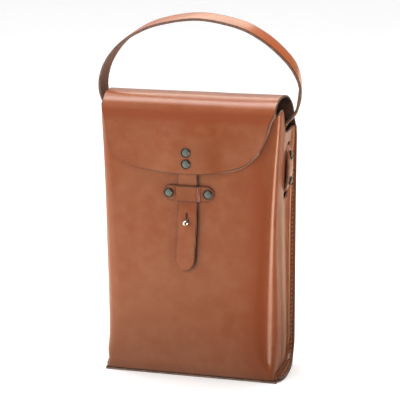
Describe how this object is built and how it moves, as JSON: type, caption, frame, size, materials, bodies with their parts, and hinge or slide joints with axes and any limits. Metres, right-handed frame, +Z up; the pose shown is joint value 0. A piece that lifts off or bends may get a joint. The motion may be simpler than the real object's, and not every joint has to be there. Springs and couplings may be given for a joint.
{
  "type": "leather boules bag",
  "caption": "Upright moulded leather bag with a round-cornered flap, a tongue under a riveted keeper on a ball stud, and a strap handle woven through both sides.",
  "frame": {"origin": "on the floor, under the middle of the bounding box", "axes": "+Z up along the bag's height, -Y out of the front with the flap and tongue, +X to the right seen from the front"},
  "size_m": [0.2112, 0.0906, 0.3679],
  "materials": {
    "body_leather": "waxed vegetable-tanned leather, soft sheen",
    "flap_leather": "waxed vegetable-tanned leather, soft sheen",
    "strap_leather": "waxed vegetable-tanned leather, burnished edges",
    "rivet_metal": "blued steel, satin",
    "stud_metal": "nickel-plated brass, polished"
  },
  "bodies": {
    "root": {"body_shell": "body_leather", "back_flap": "flap_leather", "tongue": "strap_leather", "keeper": "strap_leather", "handle_strap": "strap_leather", "ball_stud": "stud_metal", "flap_rivet_upper": "rivet_metal", "flap_rivet_lower": "rivet_metal", "keeper_rivet_left": "rivet_metal", "keeper_rivet_right": "rivet_metal", "strap_rivet_left_upper": "rivet_metal", "strap_rivet_left_lower": "rivet_metal", "strap_rivet_right_upper": "rivet_metal", "strap_rivet_right_lower": "rivet_metal"}
  },
  "joints": []
}
